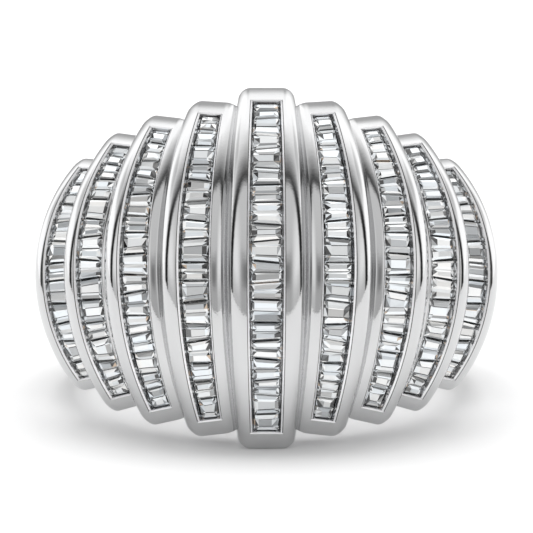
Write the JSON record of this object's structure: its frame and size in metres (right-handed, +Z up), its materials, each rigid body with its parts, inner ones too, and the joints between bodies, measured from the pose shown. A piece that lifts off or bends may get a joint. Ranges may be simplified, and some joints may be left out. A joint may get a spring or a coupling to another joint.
{
  "type": "dome ring",
  "caption": "Domed finger ring with fanned metal ribs, each holding a channel of step-cut baguette stones, lying on its side.",
  "frame": {"origin": "centre of the ring's box on the surface that it lies on", "axes": "+Z up, -Y towards the front of the dome, +X to the right as seen from the front"},
  "size_m": [0.0228, 0.0244, 0.0167],
  "materials": {
    "white_gold": "polished",
    "diamond": "polished"
  },
  "bodies": {
    "root": {"ring_body": "white_gold", "baguette_row_1": "diamond", "baguette_row_2": "diamond", "baguette_row_3": "diamond", "baguette_row_4": "diamond", "baguette_row_5": "diamond", "baguette_row_6": "diamond", "baguette_row_7": "diamond", "baguette_row_8": "diamond", "baguette_row_9": "diamond"}
  },
  "joints": []
}
